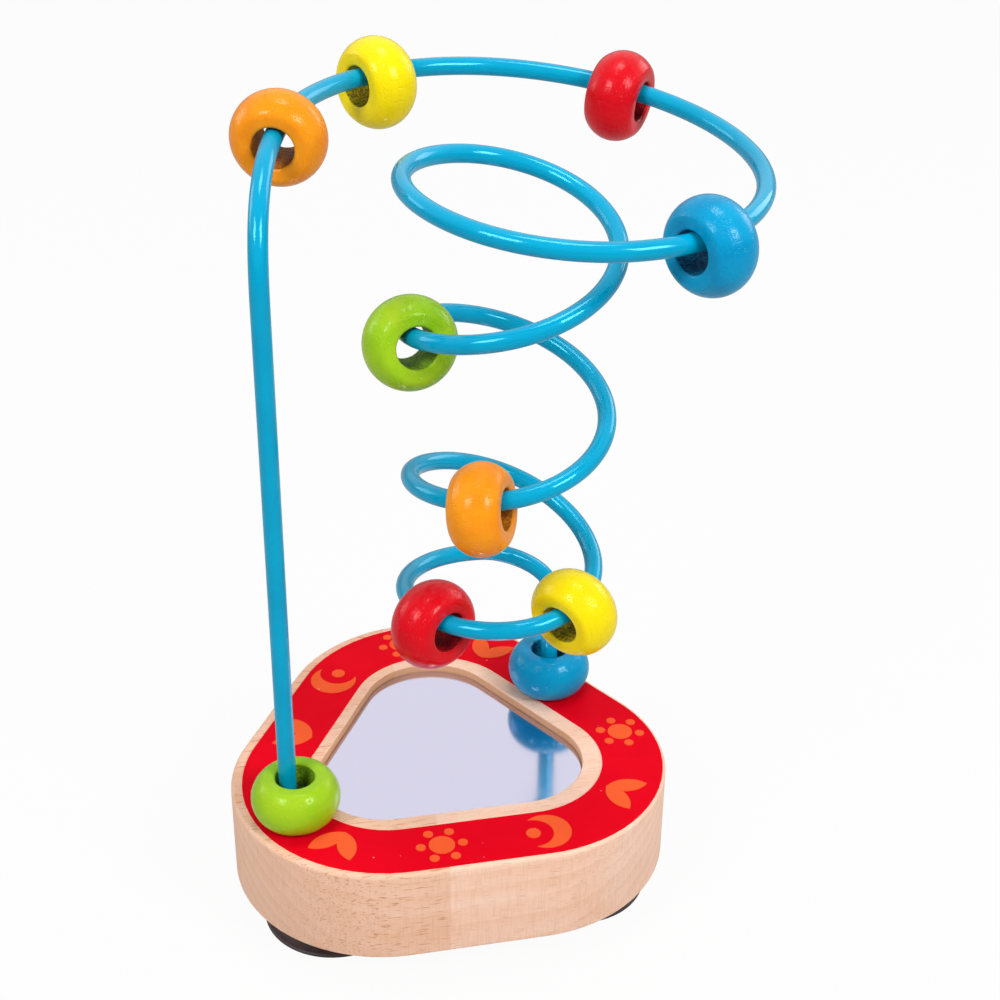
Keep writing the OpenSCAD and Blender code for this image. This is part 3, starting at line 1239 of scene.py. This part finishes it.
@dataclass
class SuctionFeet:
    """Three rubber suction cups under the corners, and the screws that hold them."""

    reach: float = 40 * MM
    cup_r: float = 20 * MM
    cup_h: float = 10 * MM
    lip_t: float = 1.2 * MM
    lip_w: float = 2.5 * MM
    lip_start: float = 70.0
    lip_steps: int = 6
    hub_r: float = 9 * MM
    hub_t: float = 2.5 * MM
    hub_edge: float = 0.4 * MM
    roof_t: float = 3.5 * MM
    pocket_r: float = 7 * MM
    shank_r: float = 1.85 * MM
    flare: float = 0.12
    flare_steps: int = 8
    sides: int = 72
    smooth_angle: float = 35.0
    places: tuple[tuple[str, float], ...] = (
        ("suction_cup_left", -150.0), ("suction_cup_right", -30.0), ("suction_cup_back", 90.0))
    rubber: Rubber = Rubber()
    steel: PlainPart = PlainPart("screw_steel", "#b4b4b0", "#8e8e8c", 1.0, Cloud(600.0, 0.28, 0.42))

    def profile(self) -> Profile:
        """Gives a cup's outline: hub, flared skirt, rounded lip and hollow.

        Returns:
            The closed outline.
        """
        rim = self.lip_t / 2
        skirt_top, skirt_low = self.cup_h - self.hub_t, self.lip_t
        spread = self.cup_r - rim - self.hub_r
        skirt = []
        for k in range(self.flare_steps + 1):
            share = k / self.flare_steps
            drop = share + self.flare * math.sin(math.pi * share)
            skirt.append((self.hub_r + spread * share, skirt_top + (skirt_low - skirt_top) * drop))
        lip = arc((self.cup_r - rim, rim), rim, self.lip_start, -90, self.lip_steps)
        roof = self.cup_h - self.roof_t
        hollow = [(self.cup_r - self.lip_w, 0.0), (self.pocket_r, roof), (self.shank_r, roof)]
        hub = [(self.shank_r, self.cup_h), (self.hub_r - self.hub_edge, self.cup_h),
               (self.hub_r, self.cup_h - self.hub_edge)]
        return hub + skirt + lip + hollow

    def finish(self, nodes: dict[str, Object], effects: Effects) -> list[Object]:
        """Models one cup, copies it to the three corners and dresses the screws.

        Args:
            nodes: the CAD nodes by name.
            effects: the shared node groups.

        Returns:
            The screws and the three cups.
        """
        screws = nodes["cup_screws"]
        dress(screws, self.steel.make(effects))
        pieces = [screws]
        first = turned("cup_pattern", self.profile(), self.sides)
        smooth(first, self.smooth_angle)
        skin = self.rubber.make(effects)
        for node, corner in self.places:
            cup = copied(first, "moulded_" + node)
            angle = math.radians(corner)
            cup.location = (self.reach * math.cos(angle), self.reach * math.sin(angle), 0)
            settle(cup)
            dress(cup, skin)
            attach(cup, BASE_BODY)
            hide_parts(node)
            pieces.append(cup)
        bpy.data.objects.remove(first)
        return pieces


@dataclass(frozen=True)
class Softbox:
    """A square studio lamp: its name, its place, the length of its sides and its power in watts."""

    name: str
    place: Triple
    side: float
    power: float


@dataclass
class Studio:
    """Pale floor, white surroundings, soft lamps and the camera."""

    eye: Triple = (-0.0745, -0.4103, 0.3511)
    azimuth: float = 12.4
    elevation: float = 29.2
    roll: float = 0.7
    lens: float = 65.0
    sensor: float = 36.0
    near: float = 0.01
    ambient: float = 0.17
    dull_room: float = 0.3
    front_wall: float = 0.5
    back_span: Pair = (-0.3, 0.2)
    rise_span: Pair = (0.05, 0.35)
    floor_side: float = 6.0
    floor_glow: float = 0.95
    floor_grey: float = 0.6
    mirrored_grey: float = 0.3
    aim: Triple = (0.0, 0.0, 0.12)
    lamps: tuple[Softbox, ...] = (
        Softbox("left_softbox", (-1.05, -0.8, 1.3), 0.6, 15.5),
        Softbox("right_softbox", (0.8, -1.1, 1.2), 0.6, 19.0),
        Softbox("top_softbox", (0.1, 0.1, 1.75), 0.55, 8.5),
        Softbox("left_back_softbox", (-1.35, 0.8, 0.7), 0.7, 4.2),
        Softbox("right_back_softbox", (1.35, 0.65, 0.7), 0.7, 4.2))

    @staticmethod
    def _seen(tree: Tree, path: NodeOutputs) -> NodeSocket:
        """Masks the rays that come straight from the camera or through something clear."""
        return tree.most(path["Is Camera Ray"], path["Is Transmission Ray"])

    def surround(self) -> None:
        """Makes the world white where it is seen, softer where it lights, and duller in most reflections."""
        world = bpy.data.worlds.new("white_room")
        bpy.context.scene.world = world
        world.use_nodes = True
        tree = Tree(world.node_tree)
        path = tree.add("LightPath").outputs
        sight = tree.parts(tree.add("TexCoord").outputs["Generated"])
        behind = tree.between(tree.ramp(sight["Y"], *self.back_span), self.front_wall, 1.0)
        wall = tree.times(behind, tree.ramp(sight["Z"], *self.rise_span))
        glossy = tree.times(path["Is Glossy Ray"], tree.between(wall, self.dull_room, 1.0))
        strength = tree.most(tree.most(self._seen(tree, path), glossy), self.ambient)
        back = tree.add("Background", sockets={"Color": grey(1.0), "Strength": strength})
        tree.add("OutputWorld", sockets={"Surface": back.outputs[0]})

    def floor(self) -> None:
        """Lays a wide pale floor that still takes the object's shadow."""
        deselect()
        bpy.ops.mesh.primitive_plane_add(size=self.floor_side, location=(0, 0, 0))
        floor = bpy.context.object
        floor.name = floor.data.name = "pale_floor"
        material = bpy.data.materials.new("pale_floor")
        material.use_nodes = True
        tree = Tree(material.node_tree)
        path = tree.add("LightPath").outputs
        pale = tree.mix(path["Is Glossy Ray"], grey(self.floor_grey), grey(self.mirrored_grey))
        matt = tree.add("BsdfDiffuse", sockets={"Color": pale})
        glow = tree.add("Emission", sockets={"Color": grey(1.0), "Strength": 1.0})
        glossy = tree.times(path["Is Glossy Ray"], self.dull_room)
        share = tree.times(tree.most(self._seen(tree, path), glossy), self.floor_glow)
        blend = tree.add("MixShader", sockets={0: share, 1: matt.outputs[0], 2: glow.outputs[0]})
        tree.add("OutputMaterial", sockets={"Surface": blend.outputs[0]})
        dress(floor, material)

    def light(self) -> None:
        """Hangs the softboxes, each facing the middle of the toy."""
        for box in self.lamps:
            deselect()
            bpy.ops.object.light_add(type="AREA", location=box.place)
            lamp = bpy.context.object
            lamp.name = lamp.data.name = box.name
            lamp.data.shape = "SQUARE"
            lamp.data.size = box.side
            lamp.data.energy = box.power
            lamp.rotation_euler = (Vector(self.aim) - lamp.location).to_track_quat("-Z", "Y").to_euler()

    def shoot(self) -> None:
        """Sets the camera at the photograph's viewing angle."""
        deselect()
        bpy.ops.object.camera_add(location=self.eye)
        camera = bpy.context.object
        camera.name = camera.data.name = "photo_camera"
        tilt = Euler((math.radians(90 - self.elevation), 0, math.radians(-self.azimuth)))
        turn = tilt.to_matrix() @ Matrix.Rotation(math.radians(self.roll), 3, "Z")
        camera.rotation_euler = turn.to_euler()
        camera.data.lens = self.lens
        camera.data.sensor_width = self.sensor
        camera.data.clip_start = self.near
        bpy.context.scene.camera = camera

    def build(self) -> None:
        """Sets up the whole studio."""
        bpy.context.scene.view_settings.view_transform = "Standard"
        self.shoot()
        self.surround()
        self.floor()
        self.light()


def main() -> None:
    """Builds every sub-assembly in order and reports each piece."""
    logging.basicConfig(level=logging.INFO, format="%(name)s %(message)s")
    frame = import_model()
    nodes: dict[str, Object] = frame["nodes"]
    Studio().build()
    effects = Effects()
    wire = BentWire()
    pieces = WoodenBase().finish(nodes, effects)
    pieces += wire.finish(effects)
    pieces += TurnedBeads(wire).finish(effects)
    pieces += SuctionFeet().finish(nodes, effects)
    for piece in pieces:
        LOG.info("%s: %d faces", piece.name, len(piece.data.polygons))


if __name__ == "__main__":
    main()
